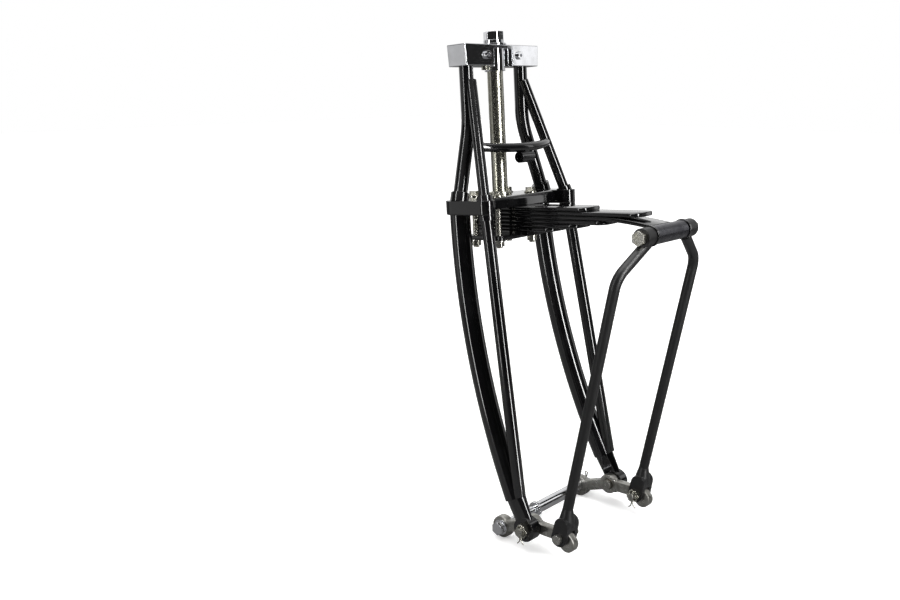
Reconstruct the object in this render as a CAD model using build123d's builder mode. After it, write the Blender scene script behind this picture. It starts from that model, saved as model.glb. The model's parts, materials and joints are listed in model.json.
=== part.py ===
from build123d import *
import os

os.makedirs("parts", exist_ok=True)

# Trailing-link leaf-spring fork in millimetres. +Z runs up the steering stem, -Y points the way
# the wheel rolls and +X is the rider's left. The origin is where the stem axis meets the top
# face of the lower crown. The left side is built and the right side is its mirror image.

# Steering stem and crowns
stem_od = 25.4
stem_wall = 3.0
race_collar_od = 36.0
race_collar_height = 5.0
race_collar_chamfer = 1.5
crown_distance = 203.0
top_crown_width = 181.0
top_crown_depth = 37.6
top_crown_height = 33.0
top_crown_taper = 2.5
crown_edge_round = 1.5
tube_socket_depth = 26.0
centre_boss_od = 33.0
centre_boss_drop = 7.0
recess_width = 46.0
recess_depth = 9.0
recess_roof = 6.0
stem_washer_od = 40.0
stem_washer_height = 8.0
stem_washer_flange = 2.6
stem_washer_boss_od = 33.0
stem_nut_flats = 28.6
stem_nut_height = 13.0
pinch_bolt_offset = 40.0
pinch_bolt_diameter = 8.0
pinch_head_diameter = 12.5
pinch_head_height = 4.0
pinch_bolt_length = 30.0
hex_key_flats = 5.0
hex_rounding = 1.12
set_screw_offset = 24.0
set_screw_flats = 10.0
set_screw_diameter = 8.0
set_screw_drop = 5.0
set_screw_grip = 8.0

# Tubes
main_tube_od = 22.2
front_tube_od = 17.0
bow_tube_od = 31.8
lower_front_tube_od = 19.05
tube_wall = 2.0
main_tube_spread = 67.0
main_tube_setback = 2.0
main_tube_bend_height = 114.0
main_tube_bend_radius = 130.0
lug_main_x = 105.0
lug_main_y = -5.0
front_tube_top_drop = 22.0
front_tube_start = (64.6, -5.0, crown_distance - front_tube_top_drop)
lug_front_x = 102.1
lug_front_y = -54.2
bow_top_x = 101.5
bow_top_y = -1.5
bow_end = (121.2, -104.7, -460.0)
bow_sag = 21.5
lower_front_top_x = 103.4
lower_front_top_y = -56.6
lower_front_end = (123.7, -116.1, -460.0)

# Side lugs and lower crown
lug_thickness = 22.0
lug_main_radius = 21.0
lug_front_radius = 14.5
lug_edge_round = 2.0
lug_socket_depth = 8.0
collar_wall = 3.6
collar_root = 4.0
collar_height = 11.0
front_collar_drop = 9.0
crown_plate_thickness = 17.0
crown_plate_front = -42.0
crown_plate_rear = 34.0
crown_plate_bulge = 7.0
crown_plate_corner = 22.0

# Brace and bracket lug
brace_od = 14.0
brace_height = 80.0
brace_reach = 22.0
brace_droop = 5.0
bracket_barrel_od = 18.0
bracket_barrel_length = 30.0
bracket_barrel_bore = 8.2
bracket_drop = 15.0
bracket_web = 10.0

# Leaf pack
leaf_width = 50.8
leaf_thickness = 6.4
leaf_gap = 0.02
leaf_rear = 34.0
leaf_corner = 7.0
top_leaf_front = -182.0
long_leaf_front = -273.0
lower_leaf_fronts = (-214.0, -164.0, -119.0)
bottom_leaf_front = -80.0
main_leaf_flat_margin = 22.0
main_leaf_bend_radius = 200.0
main_leaf_tuck_back = 5.4
main_leaf_tuck_up = 7.2
centre_bolt_diameter = 8.0
centre_bolt_y = -5.0
centre_nut_flats = 13.0
centre_nut_height = 6.0

# Clamp
clamp_plate_thickness = 7.0
clamp_plate_half_width = 54.0
clamp_plate_corner = 7.0
clamp_bolt_x = 42.0
clamp_bolt_rear = 20.0
clamp_bolt_front = -29.0
clamp_bolt_diameter = 9.5
clamp_head_flats = 14.3
clamp_head_height = 7.0
clamp_nut_height = 8.0
clamp_washer_od = 20.0
clamp_washer_thickness = 2.0
clamp_thread_end = 3.0

# Spring eye and shackle loop
eye_y = -305.0
eye_z = -52.3
eye_od = 27.0
eye_bush_od = 18.0
eye_half_length = 42.7
eye_washer_od = 30.0
eye_washer_thickness = 3.6
loop_tube_od = 15.9
loop_start_x = 53.0
loop_start_drop = 10.0
loop_corner = (108.0, -290.0, -104.0)
loop_bottom = (107.2, -194.5, -460.0)
loop_bend_radius = 34.0
ear_length = 21.0
shackle_bolt_diameter = 12.7
shackle_head_flats = 19.0
shackle_head_height = 8.5
shackle_nut_height = 7.5
shackle_thread_end = 2.0

# Rockers, legs and clevises
pivot_y = -127.0
pivot_z = -503.0
axle_y = -66.0
axle_z = -520.0
clevis_y = -185.0
clevis_z = -506.0
rocker_inner_x = 100.0
rocker_thickness = 13.4
rocker_side_gap = 0.6
rocker_web = 17.5
rocker_pivot_radius = 16.5
rocker_axle_radius = 17.5
rocker_front_radius = 14.0
rocker_nose_forward = 8.0
rocker_nose_drop = 9.0
leg_lug_thickness = 18.0
leg_lug_radius = 19.0
leg_lug_top_width = 12.5
leg_lug_top_depth = 17.0
leg_lug_top_shift = 2.2
leg_lug_neck = 0.8
leg_lug_neck_depth = 15.5
leg_cheek_radius = 32.0
pivot_diameter = 12.7
pivot_bush_od = 17.0
pivot_head_diameter = 17.0
pivot_head_height = 7.0
castle_flats = 19.0
castle_height = 11.0
castle_crown_height = 4.5
castle_crown_diameter = 17.4
castle_slot = 3.4
thread_end = 2.5
clevis_ear_thickness = 7.5
clevis_ear_radius = 13.0
clevis_throat = 22.0
clevis_throat_radius = 19.0
clevis_shoulder_radius = 12.2
clevis_bolt_diameter = 11.0
clevis_head_diameter = 15.0
clevis_head_height = 6.5
front_bush_od = 17.0
pin_diameter = 2.8
pin_length = 26.0
pin_eye_radius = 3.4
pin_eye_thickness = 2.5

# Axle
axle_diameter = 14.0
axle_head_flats = 19.0
axle_head_height = 9.0
axle_washer_od = 25.0
axle_washer_thickness = 2.0
axle_sleeve_od = 19.0
axle_sleeve_start = -27.0
axle_ring_od = 24.0
axle_ring_width = 6.0
axle_ring_teeth = 24
axle_ring_tooth_depth = 1.2

# Clearances
running_clearance = 0.05
open_pivot_clearance = 0.8
side_clearance = 0.3
face_clearance = 0.02

# Heights of the stacked pieces
top_crown_top = crown_distance + top_crown_height
pack_top = -crown_plate_thickness
stem_length = top_crown_top - pack_top + stem_washer_height + stem_nut_height
leaf_pitch = leaf_thickness + leaf_gap
main_leaf_index = 2
leaf_count = main_leaf_index + 1 + len(lower_leaf_fronts) + 1
pack_bottom = pack_top - leaf_count * leaf_pitch
clamp_bottom = pack_bottom - clamp_plate_thickness
rocker_outer_x = rocker_inner_x + rocker_thickness
leg_inner_x = rocker_outer_x + rocker_side_gap
leg_outer_x = leg_inner_x + leg_lug_thickness
slot_inner_x = rocker_inner_x - rocker_side_gap
slot_outer_x = rocker_outer_x + rocker_side_gap
clevis_inner_x = slot_inner_x - clevis_ear_thickness
clevis_outer_x = slot_outer_x + clevis_ear_thickness
ear_inner_x = eye_half_length + eye_washer_thickness + side_clearance
ear_outer_x = ear_inner_x + ear_length


# Finished pieces are labelled and written under their node names.
def save(piece, name):
    piece.label = name
    export_step(piece, f"parts/{name}.step")


# The solid bar that fills a tube's outside, used to cope the tubes and lugs that meet it.
def bar(line, diameter):
    return sweep(Plane(line @ 0, z_dir=line % 0) * Circle(diameter / 2), path=line)


# A hollow tube along a line.
def tube(line, diameter):
    with BuildPart() as piece:
        with BuildSketch(Plane(line @ 0, z_dir=line % 0)):
            Circle(diameter / 2)
            Circle(diameter / 2 - tube_wall, mode=Mode.SUBTRACT)
        sweep(path=line)
    return piece.part


# A plain hexagon nut or bolt head that starts at its plane and grows along the plane's normal.
def hexagon(plane, flats, height, bore=0.0):
    with BuildPart() as piece:
        with BuildSketch(plane):
            RegularPolygon(flats / 2, 6, major_radius=False)
        extrude(amount=height)
        with BuildSketch(plane):
            Circle(flats * hex_rounding / 2)
        extrude(amount=height, mode=Mode.INTERSECT)
        if bore:
            with BuildSketch(plane):
                Circle(bore / 2)
            extrude(amount=height, mode=Mode.SUBTRACT)
    return piece.part


# A castle nut: a hexagon, then a round crown cut by three slots right across.
def castle_nut(plane, bore):
    with BuildPart() as piece:
        with BuildSketch(plane):
            RegularPolygon(castle_flats / 2, 6, major_radius=False)
        extrude(amount=castle_height - castle_crown_height)
        with BuildSketch(plane):
            Circle(castle_crown_diameter / 2)
        extrude(amount=castle_height)
        with BuildSketch(plane.offset(castle_height - castle_crown_height)):
            for turn in (30, 90, 150):
                Rectangle(castle_flats, castle_slot, rotation=turn)
        extrude(amount=castle_height, mode=Mode.SUBTRACT)
        with BuildSketch(plane):
            Circle(bore / 2)
        extrude(amount=castle_height, mode=Mode.SUBTRACT)
    return piece.part


# A split pin along a plane's normal, centred on the plane's origin, with its round eye.
def split_pin(plane):
    with BuildPart() as piece:
        with BuildSketch(plane.offset(-pin_length / 2)):
            Circle(pin_diameter / 2)
        extrude(amount=pin_length)
        eye_plane = Plane(plane.origin - plane.z_dir * (pin_length / 2 + pin_eye_radius),
                          z_dir=plane.x_dir)
        with BuildSketch(eye_plane.offset(-pin_eye_thickness / 2)):
            Circle(pin_eye_radius + pin_diameter / 2)
            Circle(pin_eye_radius - pin_diameter / 2, mode=Mode.SUBTRACT)
        extrude(amount=pin_eye_thickness)
    return piece.part


# Round pieces across the fork: a ring or disc from one X to another about an axis along X.
def cross_ring(x_start, x_end, y, z, outer, inner=0.0):
    with BuildPart() as ring:
        with BuildSketch(Plane.YZ.offset(x_start)):
            with Locations((y, z)):
                Circle(outer / 2)
                if inner:
                    Circle(inner / 2, mode=Mode.SUBTRACT)
        extrude(amount=x_end - x_start)
    return ring.part


# Solids joined into one piece, less the solids that cut it.
def joined(pieces, cuts=()):
    with BuildPart() as piece:
        add(pieces)
        for cut in cuts:
            add(cut, mode=Mode.SUBTRACT)
    return piece.part


# A piece on the left with its mirror image on the right, in one node.
def both_sides(piece):
    with BuildPart() as pair:
        add(piece)
        mirror(about=Plane.YZ)
    return pair.part


# The upright hole that a split pin fills in a bolt across the fork.
def pin_hole(x, y, z):
    with BuildPart() as hole:
        with BuildSketch(Plane((x, y, z - pin_length / 2))):
            Circle(pin_diameter / 2)
        extrude(amount=pin_length)
    return hole.part


# The largest solid of a piece that a cut has left in several.
def largest(piece):
    return piece.solids().sort_by(SortBy.VOLUME)[-1]


# Centre lines of the left side's tubes.
main_chord = FilletPolyline(
    (main_tube_spread, main_tube_setback, crown_distance + tube_socket_depth),
    (main_tube_spread, main_tube_setback, main_tube_bend_height),
    (lug_main_x, lug_main_y, 0),
    radius=main_tube_bend_radius,
)
main_slope = main_chord % 1
main_line = FilletPolyline(
    (main_tube_spread, main_tube_setback, crown_distance + tube_socket_depth),
    (main_tube_spread, main_tube_setback, main_tube_bend_height),
    Vector(lug_main_x, lug_main_y, 0) + main_slope * lug_socket_depth,
    radius=main_tube_bend_radius,
)
front_slope = (Vector(lug_front_x, lug_front_y, 0) - Vector(*front_tube_start)).normalized()
front_line = Line(Vector(*front_tube_start),
                  Vector(lug_front_x, lug_front_y, 0) + front_slope * lug_socket_depth)
bow_start = Vector(bow_top_x, bow_top_y, lug_socket_depth - lug_thickness)
bow_chord = Vector(*bow_end) - bow_start
bow_middle = (bow_start + Vector(*bow_end)) * 0.5
bow_line = ThreePointArc(
    bow_start,
    bow_middle + Vector(1, 0, 0).cross(bow_chord).normalized() * bow_sag,
    Vector(*bow_end),
)
leg_slope = bow_line % 1
leg_plane = Plane(Vector(*bow_end), x_dir=(1, 0, 0), z_dir=leg_slope)
lower_front_start = Vector(lower_front_top_x, lower_front_top_y, lug_socket_depth - lug_thickness)
lower_front_slope = (Vector(*lower_front_end) - lower_front_start).normalized()
lower_front_line = Line(lower_front_start,
                        Vector(*lower_front_end) + lower_front_slope * lower_front_tube_od)

main_bar = bar(main_line, main_tube_od)
front_bar = bar(front_line, front_tube_od)
bow_bar = bar(bow_line, bow_tube_od)
lower_front_bar = bar(lower_front_line, lower_front_tube_od)

# Steering stem and its lower race collar
with BuildPart() as steering_stem:
    with BuildSketch(Plane.XY.offset(pack_top + face_clearance)):
        Circle(stem_od / 2)
        Circle(stem_od / 2 - stem_wall, mode=Mode.SUBTRACT)
    extrude(amount=stem_length)
save(steering_stem.part, "steering_stem")

with BuildPart() as race_collar:
    with BuildSketch():
        Circle(race_collar_od / 2)
        Circle(stem_od / 2, mode=Mode.SUBTRACT)
    extrude(amount=race_collar_height)
    chamfer(race_collar.edges().filter_by(GeomType.CIRCLE).group_by(Axis.Z)[-1].sort_by(
        SortBy.RADIUS)[-1], race_collar_chamfer)
save(race_collar.part, "race_collar")

# Side lugs: a flat block around both tubes of a side, with a collar up each upper tube
with BuildPart() as left_crown_lug:
    with BuildSketch(Plane.XY.offset(-lug_thickness)) as lug_outline:
        with Locations((bow_top_x, bow_top_y)):
            Circle(lug_main_radius)
        with Locations((lower_front_top_x, lower_front_top_y)):
            Circle(lug_front_radius)
        make_hull()
    extrude(amount=lug_thickness)
    fillet(left_crown_lug.edges().group_by(Axis.Z)[0], lug_edge_round)
    with BuildSketch(Plane(Vector(lug_main_x, lug_main_y, 0) + main_slope * collar_root,
                           z_dir=-main_slope)):
        Circle(main_tube_od / 2 + collar_wall)
    extrude(amount=collar_root + collar_height)
    with BuildSketch(Plane(Vector(lug_front_x, lug_front_y, 0) + front_slope * collar_root,
                           z_dir=-front_slope)):
        Circle(front_tube_od / 2 + collar_wall)
    extrude(amount=collar_root + collar_height / 2)
    with BuildSketch(Plane(lower_front_start, z_dir=lower_front_slope)):
        Circle(lower_front_tube_od / 2 + collar_wall)
    extrude(amount=lug_socket_depth + front_collar_drop)
    add([main_bar, front_bar, bow_bar, lower_front_bar], mode=Mode.SUBTRACT)
save(left_crown_lug.part, "left_crown_lug")

with BuildPart() as right_crown_lug:
    mirror(left_crown_lug.part, about=Plane.YZ)
save(right_crown_lug.part, "right_crown_lug")

# Lower crown: the plate between the lugs, which carries the stem and clamps the leaf pack
with BuildPart() as lower_crown:
    with BuildSketch(Plane.XY.offset(pack_top)):
        with BuildLine():
            Polyline((-lug_main_x, crown_plate_front), (-lug_main_x, crown_plate_rear - crown_plate_corner),
                     (-clamp_plate_half_width, crown_plate_rear),
                     (clamp_plate_half_width, crown_plate_rear),
                     (lug_main_x, crown_plate_rear - crown_plate_corner), (lug_main_x, crown_plate_front))
            ThreePointArc((lug_main_x, crown_plate_front),
                          (0, crown_plate_front - crown_plate_bulge),
                          (-lug_main_x, crown_plate_front))
        make_face()
    extrude(amount=crown_plate_thickness)
    with BuildSketch(Plane.XY.offset(pack_top)):
        Circle(stem_od / 2)
        with Locations([(x, y) for x in (-clamp_bolt_x, clamp_bolt_x)
                        for y in (clamp_bolt_rear, clamp_bolt_front)]):
            Circle(clamp_bolt_diameter / 2)
    extrude(amount=crown_plate_thickness, mode=Mode.SUBTRACT)
    with BuildSketch(Plane.XY.offset(-lug_thickness)):
        add(lug_outline.sketch)
        mirror(lug_outline.sketch, about=Plane.YZ)
    extrude(amount=lug_thickness, mode=Mode.SUBTRACT)
save(largest(lower_crown.part), "lower_crown")

# Upper and lower tubes
left_main_tube = tube(main_line, main_tube_od)
save(left_main_tube, "left_main_tube")

left_front_tube = largest(joined(tube(front_line, front_tube_od), [main_bar]))
save(left_front_tube, "left_front_tube")

left_bow_tube = tube(bow_line, bow_tube_od)
save(left_bow_tube, "left_bow_tube")

whole_lower_front_tube = joined(tube(lower_front_line, lower_front_tube_od), [bow_bar])
with BuildPart() as cut_lower_front_tube:
    add(whole_lower_front_tube)
    split(bisect_by=leg_plane, keep=Keep.BOTTOM)
left_lower_front_tube = largest(cut_lower_front_tube.part)
save(left_lower_front_tube, "left_lower_front_tube")

# Leg end lugs: a boot on the ends of both tubes that narrows to the pivot eye
pivot_centre = Vector((leg_inner_x + leg_outer_x) / 2, pivot_y, pivot_z)
boot_top_centre = leg_plane.offset(face_clearance).origin + leg_plane.y_dir * leg_lug_top_shift
boot_top = Plane(boot_top_centre, x_dir=(1, 0, 0), z_dir=leg_slope)
boot_neck = Plane(boot_top.origin * (1 - leg_lug_neck) + pivot_centre * leg_lug_neck,
                  x_dir=(1, 0, 0), z_dir=leg_slope)
with BuildPart() as left_leg_lug:
    with BuildSketch(boot_top):
        Ellipse(leg_lug_top_width, leg_lug_top_depth)
    with BuildSketch(boot_neck):
        Ellipse(leg_lug_thickness / 2, leg_lug_neck_depth)
    loft()
    with BuildSketch(Plane.YZ.offset(leg_inner_x)):
        with Locations((pivot_y, pivot_z)):
            Circle(leg_lug_radius)
    extrude(amount=leg_lug_thickness)
    with BuildSketch(Plane.YZ.offset(rocker_inner_x)):
        with Locations((pivot_y, pivot_z)):
            Circle(leg_cheek_radius)
    extrude(amount=leg_inner_x - rocker_inner_x, mode=Mode.SUBTRACT)
    with BuildSketch(Plane.YZ.offset(leg_inner_x)):
        with Locations((pivot_y, pivot_z)):
            Circle(pivot_diameter / 2)
    extrude(amount=leg_lug_thickness, mode=Mode.SUBTRACT)
save(left_leg_lug.part, "left_leg_lug")

for left_piece, name in ((left_main_tube, "right_main_tube"),
                         (left_front_tube, "right_front_tube"),
                         (left_bow_tube, "right_bow_tube"),
                         (left_lower_front_tube, "right_lower_front_tube"),
                         (left_leg_lug.part, "right_leg_lug")):
    with BuildPart() as right_piece:
        mirror(left_piece, about=Plane.YZ)
    save(right_piece.part, name)

# Top crown: a tapered block with blind sockets for the main tubes, a recess in front of the
# stem and a round boss inside the recess
with BuildPart() as top_crown:
    with BuildSketch(Plane.XZ.offset(-top_crown_depth / 2)):
        with BuildLine():
            Polyline((-top_crown_width / 2 + top_crown_taper, crown_distance),
                     (-top_crown_width / 2, top_crown_top), (top_crown_width / 2, top_crown_top),
                     (top_crown_width / 2 - top_crown_taper, crown_distance), close=True)
        make_face()
    extrude(amount=top_crown_depth)
    fillet(top_crown.edges(), crown_edge_round)
    with BuildSketch(Plane.XY.offset(crown_distance)):
        with Locations((0, -top_crown_depth / 2)):
            Rectangle(recess_width, recess_depth * 2)
    extrude(amount=top_crown_height - recess_roof, mode=Mode.SUBTRACT)
    with BuildSketch(Plane.XY.offset(crown_distance - centre_boss_drop)):
        Circle(centre_boss_od / 2)
    extrude(amount=centre_boss_drop + top_crown_height - recess_roof)
    with BuildSketch(Plane.XY.offset(crown_distance - centre_boss_drop)):
        Circle(stem_od / 2)
    extrude(amount=centre_boss_drop + top_crown_height, mode=Mode.SUBTRACT)
    with BuildSketch(Plane.XY.offset(crown_distance)):
        with Locations((-main_tube_spread, main_tube_setback),
                       (main_tube_spread, main_tube_setback)):
            Circle(main_tube_od / 2)
    extrude(amount=tube_socket_depth, mode=Mode.SUBTRACT)
    with BuildSketch(Plane.XZ.offset(top_crown_depth / 2)):
        with Locations((-pinch_bolt_offset, crown_distance + top_crown_height / 2),
                       (pinch_bolt_offset, crown_distance + top_crown_height / 2)):
            Circle(pinch_bolt_diameter / 2)
    extrude(amount=-pinch_bolt_length, mode=Mode.SUBTRACT)
    with BuildSketch(Plane.XY.offset(crown_distance)):
        with Locations((-set_screw_offset, 0)):
            Circle(set_screw_diameter / 2)
    extrude(amount=set_screw_grip, mode=Mode.SUBTRACT)
save(top_crown.part, "top_crown")

with BuildPart() as crown_pinch_bolts:
    with BuildSketch(Plane.XZ.offset(top_crown_depth / 2)):
        with Locations((-pinch_bolt_offset, crown_distance + top_crown_height / 2),
                       (pinch_bolt_offset, crown_distance + top_crown_height / 2)):
            Circle(pinch_bolt_diameter / 2)
    extrude(amount=-pinch_bolt_length)
    with BuildSketch(Plane.XZ.offset(top_crown_depth / 2)):
        with Locations((-pinch_bolt_offset, crown_distance + top_crown_height / 2),
                       (pinch_bolt_offset, crown_distance + top_crown_height / 2)):
            Circle(pinch_head_diameter / 2)
            RegularPolygon(hex_key_flats / 2, 6, major_radius=False, mode=Mode.SUBTRACT)
    extrude(amount=pinch_head_height)
save(crown_pinch_bolts.part, "crown_pinch_bolts")

set_screw_head = hexagon(Plane((-set_screw_offset, 0, crown_distance), z_dir=(0, 0, -1)),
                         set_screw_flats, set_screw_drop)
with BuildPart() as crown_set_screw:
    with BuildSketch(Plane.XY.offset(crown_distance)):
        with Locations((-set_screw_offset, 0)):
            Circle(set_screw_diameter / 2)
    extrude(amount=set_screw_grip)
    add(set_screw_head)
save(crown_set_screw.part, "crown_set_screw")

with BuildPart() as stem_washer:
    with BuildSketch(Plane.XY.offset(top_crown_top)):
        Circle(stem_washer_od / 2)
    extrude(amount=stem_washer_flange)
    with BuildSketch(Plane.XY.offset(top_crown_top)):
        Circle(stem_washer_boss_od / 2)
    extrude(amount=stem_washer_height)
    with BuildSketch(Plane.XY.offset(top_crown_top)):
        Circle(stem_od / 2)
    extrude(amount=stem_washer_height, mode=Mode.SUBTRACT)
save(stem_washer.part, "stem_washer")

save(hexagon(Plane.XY.offset(top_crown_top + stem_washer_height), stem_nut_flats,
             stem_nut_height, stem_od), "stem_nut")

# Arched brace between the upper front tubes, and the bracket lug under its middle
brace_share = (front_tube_start[2] - brace_height) / front_tube_start[2]
brace_x = front_tube_start[0] + (lug_front_x - front_tube_start[0]) * brace_share
brace_y = front_tube_start[1] + (lug_front_y - front_tube_start[1]) * brace_share
brace_line = ThreePointArc((brace_x, brace_y, brace_height),
                           (0, brace_y - brace_reach, brace_height - brace_droop),
                           (-brace_x, brace_y, brace_height))
brace_bar = bar(brace_line, brace_od)
right_front_bar = mirror(front_bar, about=Plane.YZ)
save(largest(joined(tube(brace_line, brace_od), [front_bar, right_front_bar])), "arched_brace")

bracket_y = brace_y - brace_reach
bracket_z = brace_height - brace_droop - bracket_drop
with BuildPart() as bracket_lug:
    with BuildSketch(Plane.YZ.offset(-bracket_barrel_length / 2)):
        with Locations((bracket_y, bracket_z)):
            Circle(bracket_barrel_od / 2)
    extrude(amount=bracket_barrel_length)
    with BuildSketch(Plane.YZ.offset(-bracket_web / 2)):
        with Locations((bracket_y, bracket_z + bracket_drop / 2)):
            Rectangle(bracket_web, bracket_drop)
    extrude(amount=bracket_web)
    with BuildSketch(Plane.YZ.offset(-bracket_barrel_length / 2)):
        with Locations((bracket_y, bracket_z)):
            Circle(bracket_barrel_bore / 2)
    extrude(amount=bracket_barrel_length, mode=Mode.SUBTRACT)
    add(brace_bar, mode=Mode.SUBTRACT)
save(bracket_lug.part, "bracket_lug")


# Leaf pack. The leaves are counted from the top; each has its own tip.
def flat_leaf(index, front):
    top = pack_top - index * leaf_pitch - leaf_gap
    with BuildPart() as leaf:
        with BuildSketch(Plane.XY.offset(top - leaf_thickness)):
            with Locations((0, (front + leaf_rear) / 2)):
                Rectangle(leaf_width, leaf_rear - front)
            with Locations([(side * leaf_width / 2, front) for side in (-1, 1)]):
                Rectangle(leaf_corner * 2 ** 0.5, leaf_corner * 2 ** 0.5, rotation=45,
                          mode=Mode.SUBTRACT)
            with Locations((0, centre_bolt_y)):
                Circle(centre_bolt_diameter / 2, mode=Mode.SUBTRACT)
        extrude(amount=leaf_thickness)
    return leaf.part


leaf_plan = [("leaf_top", 0, top_leaf_front), ("leaf_long", 1, long_leaf_front)]
for number, front in enumerate(lower_leaf_fronts, 1):
    leaf_plan.append((f"leaf_lower_{number}", main_leaf_index + number, front))
leaf_plan.append(("leaf_bottom", leaf_count - 1, bottom_leaf_front))
for name, index, front in leaf_plan:
    save(flat_leaf(index, front), name)

# Main leaf: flat to the knee, then down to the back of the spring eye
main_leaf_z = pack_top - main_leaf_index * leaf_pitch - leaf_gap - leaf_thickness / 2
main_leaf_knee = lower_leaf_fronts[0] - main_leaf_flat_margin
with BuildPart() as leaf_main:
    with BuildSketch(Plane.YZ.offset(-leaf_width / 2)):
        with BuildLine() as leaf_route:
            FilletPolyline((leaf_rear, main_leaf_z), (main_leaf_knee, main_leaf_z),
                           (eye_y + main_leaf_tuck_back, eye_z + main_leaf_tuck_up),
                           radius=main_leaf_bend_radius)
        trace(line_width=leaf_thickness)
    extrude(amount=leaf_width)
    with BuildSketch(Plane.YZ.offset(-leaf_width / 2)):
        with Locations((eye_y, eye_z)):
            Circle(eye_od / 2 + side_clearance)
    extrude(amount=leaf_width, mode=Mode.SUBTRACT)
    with BuildSketch(Plane.XY.offset(pack_bottom)):
        with Locations((0, centre_bolt_y)):
            Circle(centre_bolt_diameter / 2)
    extrude(amount=pack_top - pack_bottom, mode=Mode.SUBTRACT)
save(largest(leaf_main.part), "leaf_main")

# Clamp: plate, four bolts beside the pack, nuts, washers and the pack's centre bolt
bolt_spots = [(x, y) for x in (-clamp_bolt_x, clamp_bolt_x)
              for y in (clamp_bolt_rear, clamp_bolt_front)]
with BuildPart() as clamp_plate:
    with BuildSketch(Plane.XY.offset(clamp_bottom)):
        with Locations((0, (crown_plate_front + crown_plate_rear) / 2)):
            RectangleRounded(clamp_plate_half_width * 2, crown_plate_rear - crown_plate_front,
                             clamp_plate_corner)
        with Locations(bolt_spots):
            Circle(clamp_bolt_diameter / 2, mode=Mode.SUBTRACT)
        with Locations((0, centre_bolt_y)):
            Circle(centre_bolt_diameter / 2, mode=Mode.SUBTRACT)
    extrude(amount=clamp_plate_thickness)
save(clamp_plate.part, "clamp_plate")

clamp_bolt_end = (clamp_bottom - clamp_washer_thickness - clamp_nut_height - clamp_thread_end)
bolt_heads = [hexagon(Plane((*spot, clamp_washer_thickness)), clamp_head_flats,
                      clamp_head_height) for spot in bolt_spots]
with BuildPart() as clamp_bolts:
    with BuildSketch(Plane.XY.offset(clamp_bolt_end)):
        with Locations(bolt_spots):
            Circle(clamp_bolt_diameter / 2)
    extrude(amount=clamp_washer_thickness - clamp_bolt_end)
    add(bolt_heads)
save(clamp_bolts.part, "clamp_bolts")

save(joined([hexagon(Plane((*spot, clamp_bottom - clamp_washer_thickness), z_dir=(0, 0, -1)),
                     clamp_head_flats, clamp_nut_height, clamp_bolt_diameter)
             for spot in bolt_spots]), "clamp_nuts")

with BuildPart() as clamp_washers:
    for height in (0, clamp_bottom - clamp_washer_thickness):
        with BuildSketch(Plane.XY.offset(height)):
            with Locations(bolt_spots):
                Circle(clamp_washer_od / 2)
                Circle(clamp_bolt_diameter / 2, mode=Mode.SUBTRACT)
        extrude(amount=clamp_washer_thickness)
save(clamp_washers.part, "clamp_washers")

centre_nut = hexagon(Plane((0, centre_bolt_y, clamp_bottom), z_dir=(0, 0, -1)),
                     centre_nut_flats, centre_nut_height)
with BuildPart() as centre_bolt:
    with BuildSketch(Plane.XY.offset(clamp_bottom)):
        with Locations((0, centre_bolt_y)):
            Circle(centre_bolt_diameter / 2)
    extrude(amount=pack_top - leaf_gap - clamp_bottom)
    add(centre_nut)
save(centre_bolt.part, "centre_bolt")

# Spring eye, its bush and the thrust washers at its ends
save(cross_ring(-eye_half_length, eye_half_length, eye_y, eye_z, eye_od, eye_bush_od),
     "spring_eye")
eye_bush_bore = shackle_bolt_diameter + 2 * running_clearance
save(cross_ring(-eye_half_length, eye_half_length, eye_y, eye_z, eye_bush_od, eye_bush_bore),
     "eye_bush")
save(both_sides(cross_ring(eye_half_length, eye_half_length + eye_washer_thickness, eye_y, eye_z,
                           eye_washer_od, eye_bush_bore)), "eye_washers")

# Shackle loop: ears, bent legs and the clevis ends
loop_line = FilletPolyline((loop_start_x, eye_y, eye_z - loop_start_drop), loop_corner,
                           loop_bottom, radius=loop_bend_radius)
ear_disc = cross_ring(ear_inner_x, ear_outer_x, eye_y, eye_z, eye_od)
left_loop_ear = cross_ring(ear_inner_x, ear_outer_x, eye_y, eye_z, eye_od,
                           shackle_bolt_diameter)
save(left_loop_ear, "left_loop_ear")

left_loop_leg = largest(joined(tube(loop_line, loop_tube_od), [ear_disc]))
save(left_loop_leg, "left_loop_leg")

clevis_middle_x = (clevis_inner_x + clevis_outer_x) / 2
clevis_width = clevis_outer_x - clevis_inner_x
loop_slope = loop_line % 1
clevis_shoulder = Vector(clevis_middle_x, clevis_y, clevis_z) - loop_slope * clevis_throat
with BuildPart() as left_clevis:
    with BuildSketch(Plane(Vector(*loop_bottom), x_dir=(1, 0, 0), z_dir=loop_slope)):
        Circle(loop_tube_od / 2)
    with BuildSketch(Plane(clevis_shoulder, x_dir=(1, 0, 0), z_dir=loop_slope)):
        Ellipse(clevis_width / 2, clevis_ear_radius)
    loft()
    with BuildSketch(Plane.YZ.offset(clevis_inner_x)) as ear_outline:
        with Locations((clevis_y, clevis_z)):
            Circle(clevis_ear_radius)
        with Locations((clevis_shoulder.Y, clevis_shoulder.Z)):
            Circle(clevis_shoulder_radius)
        make_hull()
    extrude(amount=clevis_width)
    with BuildSketch(Plane.YZ.offset(slot_inner_x)):
        with Locations((clevis_y, clevis_z)):
            Circle(clevis_throat_radius)
        with Locations((clevis_y, clevis_z - clevis_throat * 2)):
            Circle(clevis_throat_radius)
        make_hull()
    extrude(amount=slot_outer_x - slot_inner_x, mode=Mode.SUBTRACT)
    with BuildSketch(Plane.YZ.offset(clevis_inner_x)):
        with Locations((clevis_y, clevis_z)):
            Circle(clevis_bolt_diameter / 2)
    extrude(amount=clevis_width, mode=Mode.SUBTRACT)
save(left_clevis.part, "left_clevis")

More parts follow.
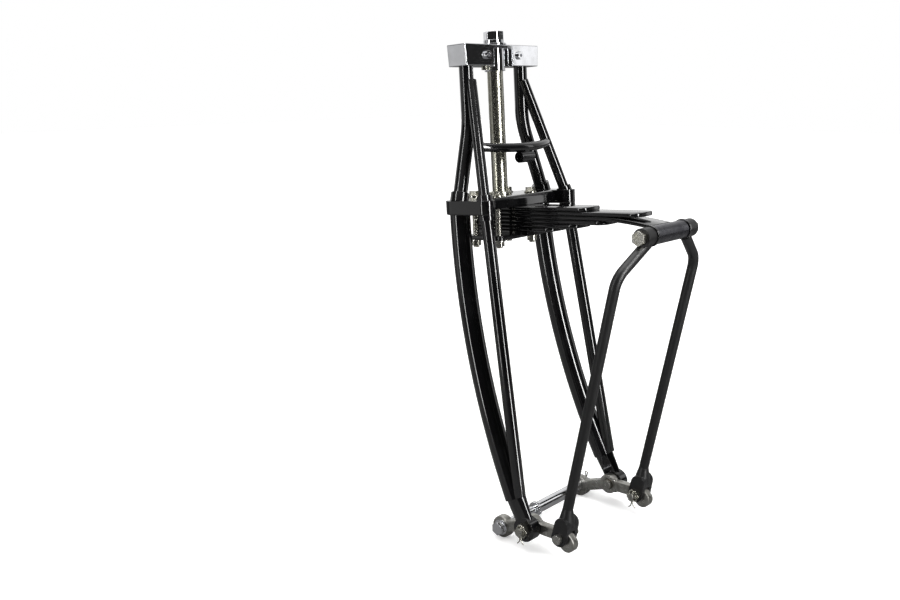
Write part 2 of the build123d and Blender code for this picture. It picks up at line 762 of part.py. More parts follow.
for left_piece, name in ((left_loop_ear, "right_loop_ear"),
                         (left_loop_leg, "right_loop_leg"),
                         (left_clevis.part, "right_clevis")):
    with BuildPart() as right_piece:
        mirror(left_piece, about=Plane.YZ)
    save(right_piece.part, name)

# Shackle bolt, with its head on the rider's right, and its nut
shackle_end_x = ear_outer_x + shackle_nut_height + shackle_thread_end
save(joined([cross_ring(-ear_outer_x, shackle_end_x, eye_y, eye_z, shackle_bolt_diameter),
             hexagon(Plane((-ear_outer_x, eye_y, eye_z), z_dir=(-1, 0, 0)), shackle_head_flats,
                     shackle_head_height)]), "shackle_bolt")
save(hexagon(Plane((ear_outer_x, eye_y, eye_z), z_dir=(1, 0, 0)), shackle_head_flats,
             shackle_nut_height, shackle_bolt_diameter), "shackle_nut")

# Clevis bolts: round heads outboard, castle nuts and split pins inboard
clevis_end_x = clevis_inner_x - castle_height - thread_end
clevis_pin_x = clevis_inner_x - castle_height + castle_crown_height / 2
clevis_hole = pin_hole(clevis_pin_x, clevis_y, clevis_z)
clevis_bolt = joined([cross_ring(clevis_end_x, clevis_outer_x, clevis_y, clevis_z,
                                 clevis_bolt_diameter),
                      cross_ring(clevis_outer_x, clevis_outer_x + clevis_head_height, clevis_y,
                                 clevis_z, clevis_head_diameter)], [clevis_hole])
save(both_sides(clevis_bolt), "clevis_bolts")
save(both_sides(castle_nut(Plane((clevis_inner_x, clevis_y, clevis_z), x_dir=(0, 1, 0),
                                 z_dir=(-1, 0, 0)), clevis_bolt_diameter)), "clevis_nuts")
save(both_sides(split_pin(Plane((clevis_pin_x, clevis_y, clevis_z), x_dir=(1, 0, 0),
                                z_dir=(0, 0, 1)))), "clevis_pins")

# Rockers: a wavy flat forging with an eye at the axle, the pivot and the nose
front_bush_bore = clevis_bolt_diameter + 2 * open_pivot_clearance
pivot_bush_bore = pivot_diameter + 2 * running_clearance
with BuildPart() as left_rocker:
    with BuildSketch(Plane.YZ.offset(rocker_inner_x)):
        with BuildLine():
            Polyline((axle_y, axle_z), (pivot_y, pivot_z), (clevis_y, clevis_z))
        trace(line_width=rocker_web)
        with Locations((pivot_y, pivot_z)):
            Circle(rocker_pivot_radius)
        with Locations((axle_y, axle_z)):
            Circle(rocker_axle_radius)
        with Locations((clevis_y, clevis_z)):
            Circle(rocker_front_radius)
        with BuildLine():
            Line((clevis_y, clevis_z),
                 (clevis_y - rocker_nose_forward, clevis_z - rocker_nose_drop))
        trace(line_width=rocker_front_radius * 2)
        with Locations((clevis_y - rocker_nose_forward, clevis_z - rocker_nose_drop)):
            Circle(rocker_front_radius)
    extrude(amount=rocker_thickness)
    with BuildSketch(Plane.YZ.offset(rocker_inner_x)):
        with Locations((pivot_y, pivot_z)):
            Circle(pivot_bush_od / 2)
        with Locations((axle_y, axle_z)):
            Circle(axle_diameter / 2)
        with Locations((clevis_y, clevis_z)):
            Circle(front_bush_od / 2)
    extrude(amount=rocker_thickness, mode=Mode.SUBTRACT)
save(left_rocker.part, "left_rocker")
with BuildPart() as right_rocker:
    mirror(left_rocker.part, about=Plane.YZ)
save(right_rocker.part, "right_rocker")

save(both_sides(cross_ring(rocker_inner_x, rocker_outer_x, pivot_y, pivot_z, pivot_bush_od,
                           pivot_bush_bore)), "pivot_bushes")
save(both_sides(cross_ring(rocker_inner_x, rocker_outer_x, clevis_y, clevis_z, front_bush_od,
                           front_bush_bore)), "front_bushes")

# Pivot bolts: round heads inboard, castle nuts and split pins outboard
pivot_seat_x = rocker_inner_x - side_clearance
pivot_end_x = leg_outer_x + castle_height + thread_end
pivot_pin_x = leg_outer_x + castle_height - castle_crown_height / 2
pivot_hole = pin_hole(pivot_pin_x, pivot_y, pivot_z)
pivot_bolt = joined([cross_ring(pivot_seat_x, pivot_end_x, pivot_y, pivot_z, pivot_diameter),
                     cross_ring(pivot_seat_x - pivot_head_height, pivot_seat_x, pivot_y, pivot_z,
                                pivot_head_diameter)], [pivot_hole])
save(both_sides(pivot_bolt), "pivot_bolts")
save(both_sides(castle_nut(Plane((leg_outer_x, pivot_y, pivot_z), x_dir=(0, 1, 0),
                                 z_dir=(1, 0, 0)), pivot_diameter)), "pivot_nuts")
save(both_sides(split_pin(Plane((pivot_pin_x, pivot_y, pivot_z), x_dir=(1, 0, 0),
                                z_dir=(0, 0, 1)))), "pivot_pins")

# Axle: a through bolt with its head on the rider's right, a sleeve with a toothed ring,
# washers, and a castle nut with its split pin on the rider's left
axle_seat_x = rocker_outer_x + axle_washer_thickness
axle_end_x = axle_seat_x + castle_height + thread_end
axle_pin_x = axle_seat_x + castle_height - castle_crown_height / 2
axle_hole = pin_hole(axle_pin_x, axle_y, axle_z)
save(joined([cross_ring(-axle_seat_x, axle_end_x, axle_y, axle_z, axle_diameter),
             hexagon(Plane((-axle_seat_x, axle_y, axle_z), z_dir=(-1, 0, 0)), axle_head_flats,
                     axle_head_height)], [axle_hole]), "axle")
save(both_sides(cross_ring(rocker_outer_x, axle_seat_x, axle_y, axle_z, axle_washer_od,
                           axle_diameter)), "axle_washers")
save(castle_nut(Plane((axle_seat_x, axle_y, axle_z), x_dir=(0, 1, 0), z_dir=(1, 0, 0)),
                axle_diameter), "axle_nut")
save(split_pin(Plane((axle_pin_x, axle_y, axle_z), x_dir=(1, 0, 0), z_dir=(0, 0, -1))),
     "axle_pin")

sleeve_body = cross_ring(axle_sleeve_start, rocker_inner_x, axle_y, axle_z, axle_sleeve_od)
sleeve_bore = cross_ring(axle_sleeve_start, rocker_inner_x, axle_y, axle_z,
                         axle_diameter + 2 * running_clearance)
with BuildPart() as axle_sleeve:
    add(sleeve_body)
    with BuildSketch(Plane.YZ.offset(axle_sleeve_start)):
        with Locations((axle_y, axle_z)):
            Circle(axle_ring_od / 2)
            with PolarLocations(axle_ring_od / 2, axle_ring_teeth):
                Rectangle(axle_ring_tooth_depth * 2, axle_ring_tooth_depth, mode=Mode.SUBTRACT)
    extrude(amount=axle_ring_width)
    add(sleeve_bore, mode=Mode.SUBTRACT)
save(axle_sleeve.part, "axle_sleeve")
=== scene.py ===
import bmesh
import bpy
import json
import math
from mathutils import Matrix, Vector

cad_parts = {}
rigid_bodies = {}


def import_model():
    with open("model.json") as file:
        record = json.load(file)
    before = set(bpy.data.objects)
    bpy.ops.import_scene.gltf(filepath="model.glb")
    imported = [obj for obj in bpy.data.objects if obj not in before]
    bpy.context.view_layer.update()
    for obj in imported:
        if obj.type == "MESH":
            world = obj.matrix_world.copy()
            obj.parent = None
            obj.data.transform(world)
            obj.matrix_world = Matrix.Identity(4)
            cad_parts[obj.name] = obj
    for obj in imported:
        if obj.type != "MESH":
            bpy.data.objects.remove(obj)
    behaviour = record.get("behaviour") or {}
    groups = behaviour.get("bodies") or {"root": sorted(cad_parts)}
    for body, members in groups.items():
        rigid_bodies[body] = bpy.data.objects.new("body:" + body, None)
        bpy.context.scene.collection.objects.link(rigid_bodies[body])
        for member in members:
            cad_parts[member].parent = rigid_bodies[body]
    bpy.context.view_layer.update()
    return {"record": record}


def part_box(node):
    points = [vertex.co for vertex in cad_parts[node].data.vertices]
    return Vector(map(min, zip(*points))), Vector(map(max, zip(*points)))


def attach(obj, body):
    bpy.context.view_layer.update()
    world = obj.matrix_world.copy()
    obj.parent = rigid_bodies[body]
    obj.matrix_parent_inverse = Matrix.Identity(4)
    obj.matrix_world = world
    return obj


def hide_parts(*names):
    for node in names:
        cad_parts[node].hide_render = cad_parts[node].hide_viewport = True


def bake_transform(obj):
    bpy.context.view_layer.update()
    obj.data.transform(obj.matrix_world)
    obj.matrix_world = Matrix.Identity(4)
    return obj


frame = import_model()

mm = 0.001

bodyOf = {}
for bodyName, nodeNames in frame["record"]["behaviour"]["bodies"].items():
    for nodeName in nodeNames:
        bodyOf[nodeName] = bodyName
slotOf = {}
for subpart in frame["record"]["subparts"]:
    slotOf[subpart["node"]] = subpart["material_slot"]


def linear(hexColour):
    # sRGB hex to the linear colour that a shader takes
    channels = [int(hexColour[i:i + 2], 16) / 255 for i in (1, 3, 5)]
    return [c / 12.92 if c <= 0.04045 else ((c + 0.055) / 1.055) ** 2.4 for c in channels] + [1.0]


def addNode(tree, kind, settings=None, **inputs):
    # one node, its settings, and values or links for its inputs
    node = tree.nodes.new(kind)
    for key, value in (settings or {}).items():
        setattr(node, key, value)
    for key, value in inputs.items():
        numbered = key[0] == "i" and key[1:].isdigit()
        socket = node.inputs[int(key[1:]) if numbered else key.replace("_", " ")]
        if isinstance(value, bpy.types.NodeSocket):
            tree.links.new(value, socket)
        else:
            socket.default_value = value
    return node


def ramp(tree, source, low, high, lowColour, highColour):
    node = addNode(tree, "ShaderNodeValToRGB", i0=source)
    node.color_ramp.elements[0].position = low
    node.color_ramp.elements[0].color = lowColour
    node.color_ramp.elements[1].position = high
    node.color_ramp.elements[1].color = highColour
    return node.outputs[0]


def grey(value):
    return (value, value, value, 1)


def newMaterial(name):
    material = bpy.data.materials.new(name)
    material.use_nodes = True
    tree = material.node_tree
    tree.nodes.clear()
    output = addNode(tree, "ShaderNodeOutputMaterial")
    shader = addNode(tree, "ShaderNodeBsdfPrincipled")
    tree.links.new(shader.outputs[0], output.inputs["Surface"])
    place = addNode(tree, "ShaderNodeTexCoord").outputs["Object"]
    return material, tree, shader, place


def link(tree, output, shader, name):
    tree.links.new(output, shader.inputs[name])


def roundedNormal(tree, radius):
    # edges catch a thin line of light, as broken or cast edges do
    return addNode(tree, "ShaderNodeBevel", {"samples": 4}, Radius=radius).outputs[0]


# Stoved gloss enamel on steel: deep black, a faint orange peel and a few duller patches
enamelLook = {"colour": "#070708", "dust": "#141415", "peel": 2.2 * mm, "patch": 45 * mm,
              "smooth": 0.07, "dull": 0.17, "peelDepth": 0.02 * mm, "bump": 0.35, "edge": 0.8 * mm,
              "glass": 1.5, "coat": 0.5, "coatRoughness": 0.04}


def makeEnamel():
    look = enamelLook
    material, tree, shader, place = newMaterial("gloss_black_enamel")
    peel = addNode(tree, "ShaderNodeTexNoise", Vector=place, Scale=1 / look["peel"], Detail=2.0)
    patch = addNode(tree, "ShaderNodeTexNoise", Vector=place, Scale=1 / look["patch"], Detail=5.0)
    link(tree, ramp(tree, patch.outputs[0], 0.45, 0.75, linear(look["colour"]), linear(look["dust"])),
         shader, "Base Color")
    link(tree, ramp(tree, patch.outputs[0], 0.35, 0.75, grey(look["smooth"]), grey(look["dull"])),
         shader, "Roughness")
    bump = addNode(tree, "ShaderNodeBump", Strength=look["bump"], Distance=look["peelDepth"],
                   Height=peel.outputs[0], Normal=roundedNormal(tree, look["edge"]))
    link(tree, bump.outputs[0], shader, "Normal")
    shader.inputs["IOR"].default_value = look["glass"]
    shader.inputs["Coat Weight"].default_value = look["coat"]
    shader.inputs["Coat Roughness"].default_value = look["coatRoughness"]
    return material


# Satin powder coat: black with a fine grain that spreads the highlights
powderLook = {"colour": "#0b0b0c", "pale": "#131313", "grain": 0.7 * mm, "patch": 30 * mm,
              "smooth": 0.33, "dull": 0.46, "depth": 0.05 * mm, "bump": 0.5, "edge": 0.8 * mm}


def makePowder():
    look = powderLook
    material, tree, shader, place = newMaterial("satin_black_powder_coat")
    grain = addNode(tree, "ShaderNodeTexNoise", Vector=place, Scale=1 / look["grain"], Detail=3.0)
    patch = addNode(tree, "ShaderNodeTexNoise", Vector=place, Scale=1 / look["patch"], Detail=4.0)
    link(tree, ramp(tree, patch.outputs[0], 0.4, 0.7, linear(look["colour"]), linear(look["pale"])),
         shader, "Base Color")
    link(tree, ramp(tree, grain.outputs[0], 0.3, 0.7, grey(look["smooth"]), grey(look["dull"])),
         shader, "Roughness")
    bump = addNode(tree, "ShaderNodeBump", Strength=look["bump"], Distance=look["depth"],
                   Height=grain.outputs[0], Normal=roundedNormal(tree, look["edge"]))
    link(tree, bump.outputs[0], shader, "Normal")
    return material


# Plated metal: one recipe for chrome, nickel and zinc, told apart by colour, sheen and grain
def makePlated(name, look):
    material, tree, shader, place = newMaterial(name)
    grain = addNode(tree, "ShaderNodeTexNoise", Vector=place, Scale=1 / look["grain"], Detail=4.0)
    patch = addNode(tree, "ShaderNodeTexNoise", Vector=place, Scale=1 / look["patch"], Detail=6.0,
                    Roughness=0.6)
    link(tree, ramp(tree, patch.outputs[0], 0.38, 0.66, linear(look["colour"]), linear(look["stain"])),
         shader, "Base Color")
    link(tree, ramp(tree, patch.outputs[0], 0.35, 0.7, grey(look["smooth"]), grey(look["dull"])),
         shader, "Roughness")
    height = grain.outputs[0]
    if "thread" in look:
        # a thread's turns along the piece's own axis
        turns = addNode(tree, "ShaderNodeTexWave", {"bands_direction": look["axis"]}, Vector=place,
                        Scale=0.314 / look["thread"])
        height = addNode(tree, "ShaderNodeMath", {"operation": "MULTIPLY_ADD"},
                         i0=turns.outputs[1], i1=look["threadDepth"] / look["depth"], i2=height).outputs[0]
    bump = addNode(tree, "ShaderNodeBump", Strength=look["bump"], Distance=look["depth"],
                   Height=height, Normal=roundedNormal(tree, look["edge"]))
    link(tree, bump.outputs[0], shader, "Normal")
    shader.inputs["Metallic"].default_value = 1.0
    return material


platedLooks = {
    # mirror chrome over polish: nearly white, faint ripples in the reflections
    "chrome": ("polished_chrome_plate", {"colour": "#e6e7ea", "stain": "#d5d6d8", "grain": 6 * mm,
               "patch": 30 * mm, "smooth": 0.035, "dull": 0.09, "depth": 0.03 * mm, "bump": 0.25,
               "edge": 0.6 * mm}),
    # satin nickel over a shot-blasted forging: grey, pitted, soft highlights
    "nickel": ("satin_nickel_forging", {"colour": "#b0afaa", "stain": "#8e8c86", "grain": 1.2 * mm,
               "patch": 9 * mm, "smooth": 0.24, "dull": 0.42, "depth": 0.18 * mm, "bump": 0.55,
               "edge": 1.6 * mm}),
    # passivated zinc on the stem: olive cast, mottled, drawn-tube sheen
    "zinc": ("olive_passivated_zinc", {"colour": "#bcbbb0", "stain": "#9f9d8e", "grain": 1.1 * mm,
             "patch": 7 * mm, "smooth": 0.20, "dull": 0.32, "depth": 0.02 * mm, "bump": 0.3,
             "edge": 0.4 * mm}),
    # bright zinc fasteners with rolled threads
    "bright_zinc": ("bright_zinc_fastener", {"colour": "#d0cfc8", "stain": "#a09d8f", "grain": 1.0 * mm,
                    "patch": 6 * mm, "smooth": 0.18, "dull": 0.30, "depth": 0.02 * mm, "bump": 0.3,
                    "edge": 0.5 * mm}),
    # oiled bronze bushes: warm, darkened by oil
    "bronze": ("oiled_bronze", {"colour": "#9c7440", "stain": "#5c4426", "grain": 0.8 * mm,
               "patch": 5 * mm, "smooth": 0.28, "dull": 0.42, "depth": 0.05 * mm, "bump": 0.4,
               "edge": 0.3 * mm}),
}

materialOf = {"enamel": makeEnamel(), "satin_black": makePowder()}
for slotName, (materialName, look) in platedLooks.items():
    materialOf[slotName] = makePlated(materialName, look)
materialOf["spring_black"] = materialOf["enamel"]
# dark phosphated steel of the spring eye: a satin metal with a long soft highlight
eyeMaterial = makePlated("dark_satin_steel", {"colour": "#5b5b60", "stain": "#44444a", "grain": 0.9 * mm,
                         "patch": 12 * mm, "smooth": 0.24, "dull": 0.36, "depth": 0.04 * mm, "bump": 0.35,
                         "edge": 0.6 * mm})
boltLook = dict(platedLooks["bright_zinc"][1], thread=1.6 * mm, threadDepth=0.5 * mm, axis="Z", bump=0.8)
boltMaterial = makePlated("bright_zinc_thread", boltLook)
print("materials made:", len(bpy.data.materials))


for nodeName, slotName in slotOf.items():
    cadObject = bpy.data.objects[nodeName]
    if not cadObject.data.materials:
        cadObject.data.materials.append(materialOf[slotName])
    for place in cadObject.material_slots:
        place.material = materialOf[slotName]
print("CAD nodes painted:", len(slotOf))


def finished(name, mesh, node, body=None):
    # a mesh becomes a piece of the object: painted, riding on its body, standing for its node
    obj = bpy.data.objects.new(name, mesh)
    bpy.context.scene.collection.objects.link(obj)
    obj.data.materials.clear()
    obj.data.materials.append(materialOf[slotOf[node]])
    if body:
        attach(obj, body)
    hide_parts(node)
    return obj


def smoothByAngle(mesh, degrees):
    # smooth shading that keeps the edges sharper than the angle
    bm = bmesh.new()
    bm.from_mesh(mesh)
    for face in bm.faces:
        face.smooth = True
    for edge in bm.edges:
        if len(edge.link_faces) == 2:
            edge.smooth = edge.calc_face_angle() < math.radians(degrees)
    bm.to_mesh(mesh)
    bm.free()


# Broken edges: a copy of a node with its sharp edges rounded, for forgings and plates
edgeRounds = {"left_rocker": 2.0 * mm, "right_rocker": 2.0 * mm, "clamp_plate": 1.0 * mm,
              "lower_crown": 6.0 * mm}
frontOnly = {"lower_crown": 38 * mm}  # only the crown's top edge ahead of here is forged round
rounding = {"weld": 0.01 * mm, "flat": 2, "sharp": 50, "segments": 3, "smooth": 35, "atTop": 0.1 * mm}


def roundedCopy(node, width):
    mesh = bpy.data.objects[node].data.copy()
    mesh.name = "rounded_" + node
    bm = bmesh.new()
    bm.from_mesh(mesh)
    bmesh.ops.remove_doubles(bm, verts=bm.verts, dist=rounding["weld"])
    bmesh.ops.dissolve_limit(bm, angle_limit=math.radians(rounding["flat"]), verts=bm.verts,
                             edges=bm.edges)
    sharp = [e for e in bm.edges
             if len(e.link_faces) == 2 and e.calc_face_angle() > math.radians(rounding["sharp"])]
    if node in frontOnly:
        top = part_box(node)[1][2]
        ends = {e: (e.verts[0].co + e.verts[1].co) / 2 for e in sharp}
        sharp = [e for e in sharp
                 if ends[e].y < -frontOnly[node] and ends[e].z > top - rounding["atTop"]]
    bmesh.ops.bevel(bm, geom=sharp, offset=width, segments=rounding["segments"], profile=0.5,
                    affect="EDGES", clamp_overlap=True)
    bm.to_mesh(mesh)
    bm.free()
    smoothByAngle(mesh, rounding["smooth"])
    finished("rounded_" + node, mesh, node, bodyOf[node])


# Spring leaves: flat bars with rolled edges and round-cornered tips, divided so that they can bend
leafShape = {"stations": 90, "thickness": 6.4 * mm, "edgeRound": 2.2 * mm, "edgeSteps": 6,
             "tipRadius": 13.0 * mm, "tipSteps": 12, "slopeSpan": 1 * mm, "smooth": 35,
             "bendFrom": 45 * mm}  # the clamp lets go of the pack this far ahead of the stem axis


def leafSection(halfWidth, thickness, rounding):
    # a flat bar with half-round edges, listed once round
    points = []
    for side in (1, -1):
        for step in range(leafShape["edgeSteps"] + 1):
            angle = math.pi * step / leafShape["edgeSteps"]
            points.append((side * (halfWidth - rounding + rounding * math.sin(angle)),
                           side * thickness / 2 * math.cos(angle)))
    return points


def makeLeaf(node, centreLine):
    low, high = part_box(node)
    halfWidth = high[0]
    bm = bmesh.new()
    rings = []
    tip = centreLine[0][0]
    radius = leafShape["tipRadius"]
    steps = leafShape["tipSteps"]
    stations = leafShape["stations"]
    span = leafShape["slopeSpan"]
    length = centreLine[-1][0] - tip - radius
    places = [tip + radius * (1 - math.cos(math.pi / 2 * i / steps)) for i in range(steps)]
    places += [tip + radius + length * i / stations for i in range(stations + 1)]
    for y in places:
        z = heightAt(centreLine, y)
        slope = (heightAt(centreLine, y + span) - heightAt(centreLine, y - span)) / (2 * span)
        left = max(0.0, radius - (y - tip))
        clip = (radius - math.sqrt(radius ** 2 - left ** 2)) if node != "leaf_main" else 0.0
        ring = []
        for x, dz in leafSection(halfWidth - clip, leafShape["thickness"], leafShape["edgeRound"]):
            ring.append(bm.verts.new((x, y + slope * -dz, z + dz)))
        rings.append(ring)
    for first, second in zip(rings, rings[1:]):
        for k in range(len(first)):
            after = (k + 1) % len(first)
            bm.faces.new((first[k], first[after], second[after], second[k]))
    bm.faces.new(rings[0][::-1])
    bm.faces.new(rings[-1])
    bmesh.ops.recalc_face_normals(bm, faces=bm.faces)
    mesh = bpy.data.meshes.new("leaf_mesh_" + node)
    bm.to_mesh(mesh)
    bm.free()
    smoothByAngle(mesh, leafShape["smooth"])
    obj = finished("bent_" + node, mesh, node)
    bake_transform(obj)


def heightAt(line, y):
    # the centre line's height, by straight runs between its points
    for (y0, z0), (y1, z1) in zip(line, line[1:]):
        if y <= y1 or (y1, z1) == line[-1]:
            share = (y - y0) / (y1 - y0)
            return z0 + (z1 - z0) * share
    return line[-1][1]


eyeLow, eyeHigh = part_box("spring_eye")
eyeY = (eyeLow[1] + eyeHigh[1]) / 2
eyeZ = (eyeLow[2] + eyeHigh[2]) / 2
for node in ("leaf_top", "leaf_long", "leaf_lower_1", "leaf_lower_2", "leaf_lower_3"):
    low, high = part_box(node)
    middle = (low[2] + high[2]) / 2
    makeLeaf(node, [(low[1], middle), (high[1], middle)])
# the main leaf leaves the back of the eye and eases up to the flat where the next leaf ends
mainRoute = {"behindEye": 8.5 * mm, "aboveEye": 9.6 * mm, "steps": 12, "ease": 1.6}
mainLow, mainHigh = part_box("leaf_main")
flat = mainHigh[2] - leafShape["thickness"] / 2
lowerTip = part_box("leaf_lower_1")[0][1]
line = [(eyeY + mainRoute["behindEye"], eyeZ + mainRoute["aboveEye"])]
for step in range(1, mainRoute["steps"]):
    share = step / mainRoute["steps"]
    line.append((line[0][0] + (lowerTip - line[0][0]) * share,
                 line[0][1] + (flat - line[0][1]) * (1 - (1 - share) ** mainRoute["ease"])))
makeLeaf("leaf_main", line + [(lowerTip, flat), (mainHigh[1], flat)])
print("leaves bent:", 6)

for node, width in edgeRounds.items():
    roundedCopy(node, width)
print("edges rounded:", len(edgeRounds))


# Split pins: a folded wire with a round eye and two legs bent apart. A leg's point is millimetres
# out from the middle and a share of the half length, an eye's is millimetres out and down
pinShape = {"wire": 1.0 * mm, "resolution": 3, "order": 3, "smooth": 60,
            "legs": [(0.7, 0.35), (0.7, -0.3), (1.6, -0.62), (3.6, -0.86), (6.4, -0.95)],
            "eye": [(-1.6, 5.6), (-3.0, 3.0), (0, 0), (3.0, 3.0), (1.6, 5.6)]}


def makePins(node):
    cad = bpy.data.objects[node].data
    sides = sorted(set(1 if v.co.x > 0 else -1 for v in cad.vertices))
    for side in sides:
        own = [v.co for v in cad.vertices if (v.co.x > 0) == (side > 0)]
        x = (min(v.x for v in own) + max(v.x for v in own)) / 2
        y = (min(v.y for v in own) + max(v.y for v in own)) / 2
        lowZ = min(v.z for v in own)
        highZ = max(v.z for v in own)
        z = (lowZ + highZ) / 2
        half = (highZ - lowZ) / 2 - pinShape["wire"]
        legs = pinShape["legs"]
        route = [(y - out * mm, z + half * up) for out, up in reversed(legs)]
        route += [(y + out * mm, z + half - down * mm) for out, down in pinShape["eye"]]
        route += [(y + out * mm, z + half * up) for out, up in legs]
        curve = bpy.data.curves.new(f"pin_wire_{node}_{side}", "CURVE")
        curve.dimensions = "3D"
        curve.bevel_depth = pinShape["wire"]
        curve.bevel_resolution = pinShape["resolution"]
        spline = curve.splines.new("NURBS")
        spline.points.add(len(route) - 1)
        for point, (pointY, pointZ) in zip(spline.points, route):
            point.co = (x, pointY, pointZ, 1)
        spline.order_u = pinShape["order"]
        spline.use_endpoint_u = True
        holder = bpy.data.objects.new("pin_holder", curve)
        bpy.context.scene.collection.objects.link(holder)
        graph = bpy.context.evaluated_depsgraph_get()
        mesh = bpy.data.meshes.new_from_object(holder.evaluated_get(graph))
        bpy.data.objects.remove(holder)
        smoothByAngle(mesh, pinShape["smooth"])
        sideName = "left" if side > 0 else "right"
        finished(f"split_{node}_{sideName}", mesh, node, bodyOf[node])


for node in ("pivot_pins", "clevis_pins", "axle_pin"):
    makePins(node)
print("split pins bent")

# Two nodes look unlike the rest of their slot
for node, material in (("clamp_bolts", boltMaterial), ("spring_eye", eyeMaterial)):
    for place in bpy.data.objects[node].material_slots:
        place.material = material

# Camera at the viewing angle: orientation from its right and forward directions
view = {"at": (-1195.9 * mm, -1000.7 * mm, 110.5 * mm), "right": (0.6776, -0.7335, -0.0539),
        "forward": (0.7163, 0.6748, -0.1777), "lens": 37.987, "sensor": 36, "reach": 50}
cameraData = bpy.data.cameras.new("camera")
cameraData.lens = view["lens"]
cameraData.sensor_width = view["sensor"]
cameraData.clip_end = view["reach"]
camera = bpy.data.objects.new("camera", cameraData)
right = Vector(view["right"]).normalized()
forward = Vector(view["forward"]).normalized()
up = right.cross(forward)
right = forward.cross(up)
camera.matrix_world = Matrix((
    (right.x, up.x, -forward.x, view["at"][0]), (right.y, up.y, -forward.y, view["at"][1]),
    (right.z, up.z, -forward.z, view["at"][2]), (0, 0, 0, 1)))
bpy.context.scene.collection.objects.link(camera)
bpy.context.scene.camera = camera

# Floor: level for an upright camera, so it leans a little in the stem's own frame
floorLook = {"normal": (0, -0.0733, 0.9973), "size": 12.0, "colour": "#f4f4f3", "fleck": "#f1f1f0",
             "fleckScale": 3.0, "roughness": 0.9, "glow": 0.42, "farGlow": 1.0, "near": 0.6, "far": 1.8,
             "paintedShadeInMetal": "#7a7a7a", "gap": 0.2 * mm}
floorNormal = Vector(floorLook["normal"]).normalized()
lowest = min((obj.matrix_world @ v.co).dot(floorNormal) for obj in bpy.data.objects
             if obj.type == "MESH" and not obj.hide_render for v in obj.data.vertices)
floorMesh = bpy.data.meshes.new("floor")
across = Vector((1, 0, 0))
along = floorNormal.cross(across)
middle = floorNormal * (lowest - floorLook["gap"])
corners = [middle + (across * a + along * b) * floorLook["size"]
           for a, b in ((-1, -1), (1, -1), (1, 1), (-1, 1))]
floorMesh.from_pydata(corners, [], [(0, 1, 2, 3)])
floor = bpy.data.objects.new("floor", floorMesh)
bpy.context.scene.collection.objects.link(floor)
material, tree, shader, place = newMaterial("white_paper_floor")
paper = addNode(tree, "ShaderNodeTexNoise", Vector=place, Scale=floorLook["fleckScale"], Detail=3.0)
white = ramp(tree, paper.outputs[0], 0.3, 0.7, linear(floorLook["fleck"]),
             linear(floorLook["colour"]))
cameraRay = addNode(tree, "ShaderNodeLightPath").outputs["Is Camera Ray"]
# painted shade: seen in the tubes the floor takes a darker grey, standing in for a lit sheet past its edge
shade = addNode(tree, "ShaderNodeMix", {"data_type": "RGBA"}, i0=cameraRay,
                i6=linear(floorLook["paintedShadeInMetal"]), i7=white)
link(tree, shade.outputs[2], shader, "Base Color")
shader.inputs["Roughness"].default_value = floorLook["roughness"]
# painted light: for camera rays the floor glows, at glow within near of the origin rising to farGlow
# beyond far, so it shows pure white far out while the lamps' shadows near the object stay
shader.inputs["Emission Color"].default_value = (1, 1, 1, 1)
distance = addNode(tree, "ShaderNodeVectorMath", {"operation": "LENGTH"}, i0=place).outputs["Value"]
spread = addNode(tree, "ShaderNodeMapRange", i0=distance, i1=floorLook["near"], i2=floorLook["far"],
                 i3=floorLook["glow"], i4=floorLook["farGlow"]).outputs[0]
glow = addNode(tree, "ShaderNodeMath", {"operation": "MULTIPLY"}, i0=cameraRay, i1=spread)
link(tree, glow.outputs[0], shader, "Emission Strength")
floorMesh.materials.append(material)

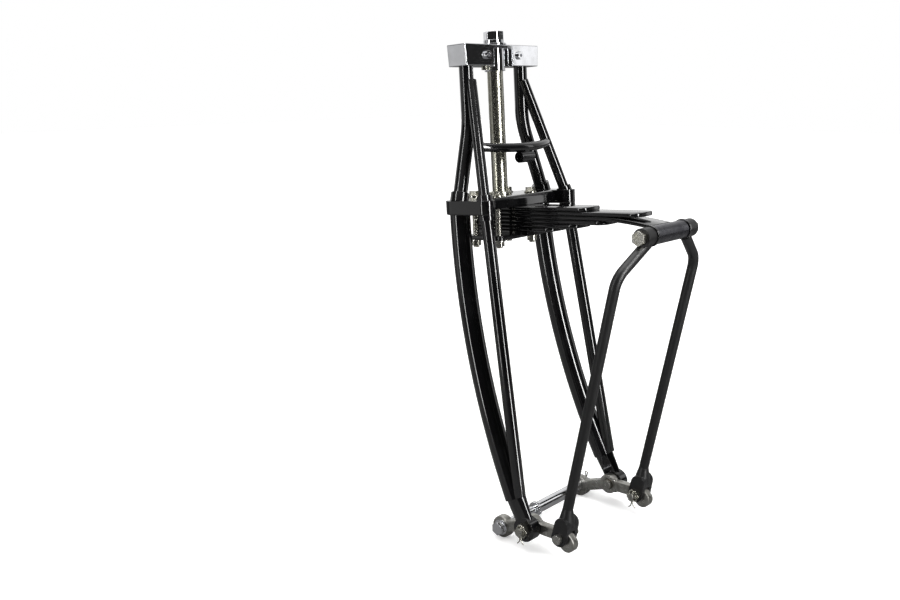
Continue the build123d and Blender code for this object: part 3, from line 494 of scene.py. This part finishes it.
# World: white behind the object, and in reflections a dark room on the camera's side, a white wall
# behind the object and a pale roof
world = bpy.data.worlds.new("studio")
bpy.context.scene.world = world
world.use_nodes = True
tree = world.node_tree
tree.nodes.clear()
output = addNode(tree, "ShaderNodeOutputWorld")
rays = addNode(tree, "ShaderNodeLightPath")
direction = addNode(tree, "ShaderNodeTexCoord").outputs["Generated"]
room = {"dark": 0.02, "wall": 0.85, "wallFrom": 0.56, "wallFull": 0.9, "top": 0.55, "topFrom": 0.35,
        "topFull": 0.95}
facing = addNode(tree, "ShaderNodeVectorMath", {"operation": "DOT_PRODUCT"}, i0=direction,
                 i1=view["forward"])
turned = addNode(tree, "ShaderNodeMapRange", i0=facing.outputs["Value"], i1=-1.0, i2=1.0)
wall = ramp(tree, turned.outputs[0], room["wallFrom"], room["wallFull"], grey(room["dark"]),
            grey(room["wall"]))
heights = addNode(tree, "ShaderNodeSeparateXYZ", Vector=direction)
roof = ramp(tree, heights.outputs[2], room["topFrom"], room["topFull"], grey(0), grey(room["top"]))
shell = addNode(tree, "ShaderNodeMix", {"data_type": "RGBA", "blend_type": "ADD"}, i0=1.0, i6=wall,
                i7=roof)
seen = addNode(tree, "ShaderNodeMix", {"data_type": "RGBA"}, i0=rays.outputs["Is Camera Ray"],
               i6=shell.outputs[2], i7=(1, 1, 1, 1))
background = addNode(tree, "ShaderNodeBackground", Color=seen.outputs[2], Strength=1.0)
tree.links.new(background.outputs[0], output.inputs["Surface"])

# Lights: two tall strips for the tubes' highlights, a wide top light and two cards that the chrome
# crown reflects in its end and its front
lights = [
    {"name": "strip_front", "at": (-0.15, -2.1, 0.1), "aim": (0, -0.1, -0.15), "size": (0.30, 2.6),
     "power": 62},
    {"name": "strip_left", "at": (-1.9, 0.35, 0.1), "aim": (0, -0.1, -0.15), "size": (0.16, 2.6),
     "power": 16},
    {"name": "top", "at": (-0.2, -0.2, 1.9), "aim": (0, -0.1, -0.2), "size": (2.0, 2.0), "power": 36},
    {"name": "card_end", "at": (-1.2, 1.0, 0.1), "aim": (-0.09, 0, 0.22), "size": (0.8, 0.8),
     "power": 0.9},
    {"name": "card_right", "at": (1.56, -1.08, 0.36), "aim": (0.08, -0.02, 0.22), "size": (0.28, 1.2),
     "power": 1.2},
]
for light in lights:
    data = bpy.data.lights.new(light["name"], "AREA")
    data.shape = "RECTANGLE"
    data.size, data.size_y = light["size"]
    data.energy = light["power"]
    lamp = bpy.data.objects.new(light["name"], data)
    lamp.location = light["at"]
    aim = Vector(light["aim"]) - Vector(light["at"])
    lamp.rotation_euler = aim.to_track_quat("-Z", "Y").to_euler()
    bpy.context.scene.collection.objects.link(lamp)
bpy.context.scene.view_settings.view_transform = "Standard"
print("stage lit")
